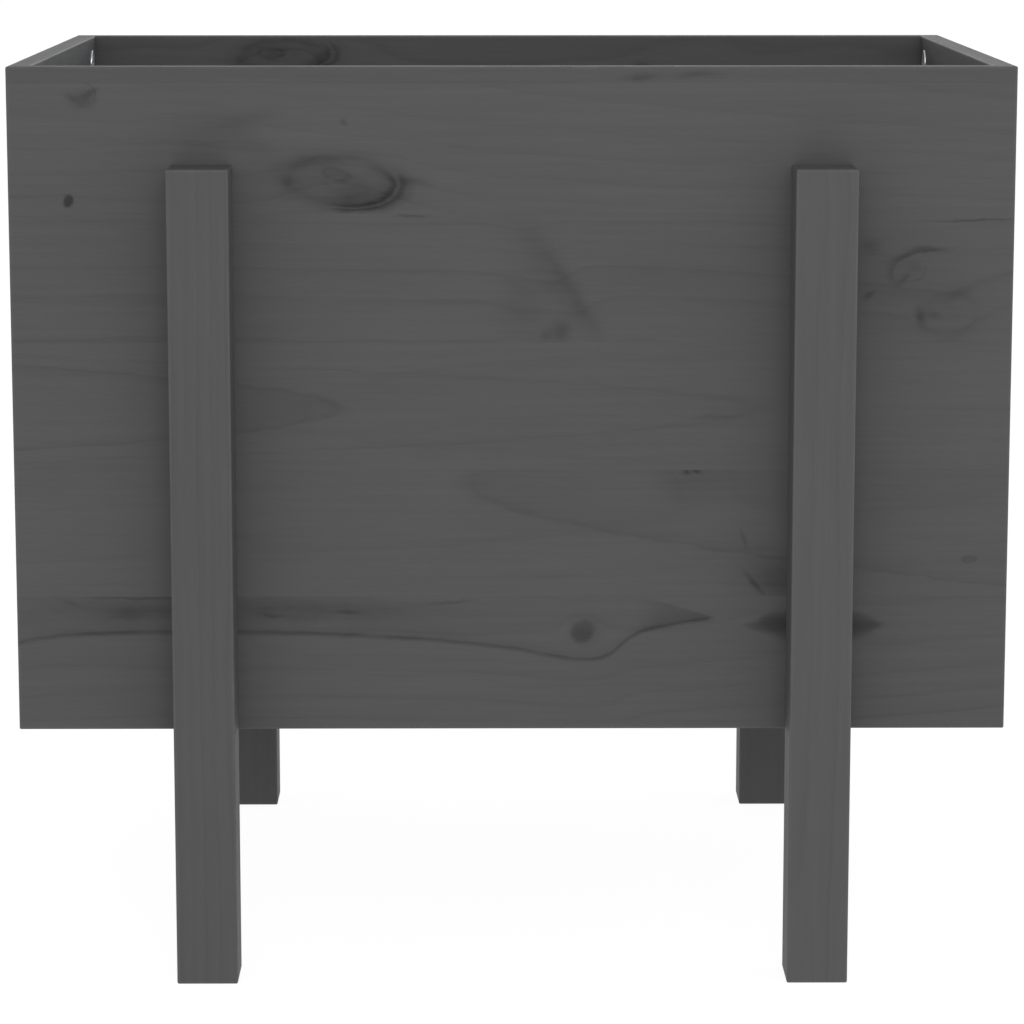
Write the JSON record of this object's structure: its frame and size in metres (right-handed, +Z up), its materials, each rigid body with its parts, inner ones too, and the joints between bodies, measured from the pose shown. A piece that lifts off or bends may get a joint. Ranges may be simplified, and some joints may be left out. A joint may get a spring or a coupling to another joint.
{
  "type": "raised planter",
  "caption": "Rectangular stained-pine planter box with a slatted drainage floor, raised on square legs screwed to the outside of its front and back panels.",
  "frame": {"origin": "on the ground, under the middle of the planter", "axes": "+Z up, +X along the box from its left end to its right end, +Y from its front to its back"},
  "size_m": [0.62, 0.5, 0.57],
  "materials": {
    "stained_pine": "dark grey semi-transparent stain on planed, edge-glued pine, matt",
    "zinc_steel": "bright zinc plate"
  },
  "bodies": {
    "root": {"front_panel": "stained_pine", "back_panel": "stained_pine", "left_panel": "stained_pine", "right_panel": "stained_pine", "front_left_leg": "stained_pine", "front_right_leg": "stained_pine", "rear_left_leg": "stained_pine", "rear_right_leg": "stained_pine", "front_cleat": "stained_pine", "back_cleat": "stained_pine", "bottom_slat_1": "stained_pine", "bottom_slat_2": "stained_pine", "bottom_slat_3": "stained_pine", "bottom_slat_4": "stained_pine", "bottom_slat_5": "stained_pine", "bottom_slat_6": "stained_pine", "leg_screws": "zinc_steel", "cleat_screws": "zinc_steel", "slat_screws": "zinc_steel", "corner_cams": "zinc_steel", "cam_bolts": "zinc_steel"}
  },
  "joints": []
}
